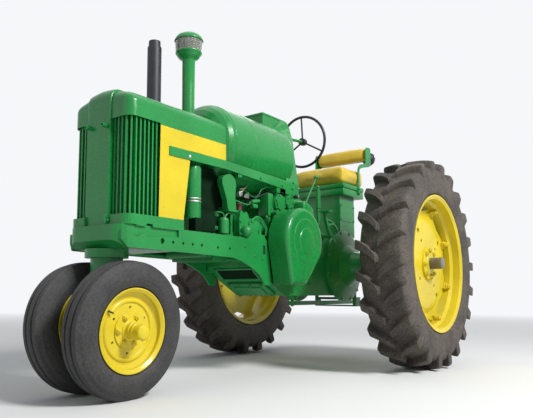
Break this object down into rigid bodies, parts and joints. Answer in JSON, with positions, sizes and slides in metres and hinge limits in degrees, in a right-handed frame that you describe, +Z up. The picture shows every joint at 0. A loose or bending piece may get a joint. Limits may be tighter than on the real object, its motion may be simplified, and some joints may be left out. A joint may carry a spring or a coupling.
{
  "type": "vintage row-crop tractor",
  "caption": "Vintage row-crop tractor with twin steered front wheels, lugged rear tyres, slatted nose, round pressure tank, flywheel cover, padded seat and swinging drawbar.",
  "frame": {"origin": "on the floor, in the middle of the tractor's length and width", "axes": "+X forward, +Y to the driver's left, +Z up"},
  "size_m": [3.4184, 2.07, 2.2033],
  "materials": {
    "green_paint": "gloss green enamel",
    "yellow_paint": "gloss yellow enamel",
    "yellow_wheel": "gloss yellow enamel, dusty",
    "bowl_glass": "smoky glass",
    "stack_black": "matt black heat paint",
    "manifold_iron": "rusty cast iron",
    "bare_steel": "worn steel",
    "seat_vinyl": "padded vinyl",
    "lamp_black": "satin black",
    "wheel_plastic": "hard rubber",
    "front_rubber": "weathered rubber",
    "rear_rubber": "dusty weathered rubber"
  },
  "bodies": {
    "tractor": {"front_support": "green_paint", "steering_pedestal": "green_paint", "frame_rails": "green_paint", "grille": "green_paint", "hood": "green_paint", "side_panels": "yellow_paint", "radiator": "green_paint", "fan_drive": "green_paint", "fuel_tank": "green_paint", "tank_rails": "green_paint", "valve_cover": "green_paint", "cowl": "green_paint", "air_stack": "green_paint", "precleaner_bowl": "bowl_glass", "exhaust_stack": "stack_black", "exhaust_manifold": "manifold_iron", "air_cleaner": "green_paint", "engine_block": "green_paint", "main_case": "green_paint", "governor": "green_paint", "fuel_mixer": "green_paint", "fuel_filter": "green_paint", "hydraulic_pump": "green_paint", "flywheel": "bare_steel", "flywheel_cover": "green_paint", "axle_housings": "green_paint", "lift_housing": "green_paint", "battery_box": "green_paint", "seat_frame": "green_paint", "seat_cushion": "seat_vinyl", "seat_back": "seat_vinyl", "rear_lamp": "lamp_black", "hand_levers": "green_paint", "pedals": "green_paint", "drawbar_support": "green_paint", "pto_shaft": "bare_steel"},
    "steered_axle": {"knuckle": "green_paint"},
    "front_left": {"front_tyre_left": "front_rubber", "front_wheel_left": "yellow_wheel"},
    "front_right": {"front_tyre_right": "front_rubber", "front_wheel_right": "yellow_wheel"},
    "rear_left": {"rear_tyre_left": "rear_rubber", "rear_wheel_left": "yellow_wheel", "axle_shaft_left": "bare_steel"},
    "rear_right": {"rear_tyre_right": "rear_rubber", "rear_wheel_right": "yellow_wheel", "axle_shaft_right": "bare_steel"},
    "steering": {"steering_wheel": "wheel_plastic", "steering_shaft": "green_paint"},
    "fan_rotor": {"fan": "green_paint"},
    "pulley": {"belt_pulley": "green_paint"},
    "swinging_drawbar": {"drawbar": "green_paint"}
  },
  "joints": [
    {"name": "steer", "type": "hinge", "parent": "tractor", "child": "steered_axle", "pos_m": [1.3495, 0, 0.37171], "axis": [0, 0, 1], "range_deg": [-65, 65]},
    {"name": "front_wheel_left_spin", "type": "hinge", "parent": "steered_axle", "child": "front_left", "pos_m": [1.3495, 0.166, 0.3601], "axis": [0, 0.9976, -0.0698], "continuous": true},
    {"name": "front_wheel_right_spin", "type": "hinge", "parent": "steered_axle", "child": "front_right", "pos_m": [1.3495, -0.166, 0.3601], "axis": [0, 0.9976, 0.0698], "continuous": true},
    {"name": "rear_wheel_left_spin", "type": "hinge", "parent": "tractor", "child": "rear_left", "pos_m": [-0.9365, 0.865, 0.77238], "axis": [0, 1, 0], "continuous": true},
    {"name": "rear_wheel_right_spin", "type": "hinge", "parent": "tractor", "child": "rear_right", "pos_m": [-0.9365, -0.865, 0.77238], "axis": [0, 1, 0], "continuous": true},
    {"name": "steering_wheel_turn", "type": "hinge", "parent": "tractor", "child": "steering", "pos_m": [-0.6865, 0, 1.805], "axis": [-0.9962, 0, 0.0872], "range_deg": [-520, 520]},
    {"name": "fan_spin", "type": "hinge", "parent": "tractor", "child": "fan_rotor", "pos_m": [0.9965, 0, 1.19], "axis": [1, 0, 0], "continuous": true},
    {"name": "pulley_spin", "type": "hinge", "parent": "tractor", "child": "pulley", "pos_m": [-0.0335, -0.35, 0.905], "axis": [0, 1, 0], "continuous": true},
    {"name": "drawbar_swing", "type": "hinge", "parent": "tractor", "child": "swinging_drawbar", "pos_m": [-0.5015, 0, 0.471], "axis": [0, 0, 1], "range_deg": [-9, 9]}
  ],
  "couplings": [
    {"joint": "steering_wheel_turn", "follows": "steer", "ratio": 8}
  ]
}
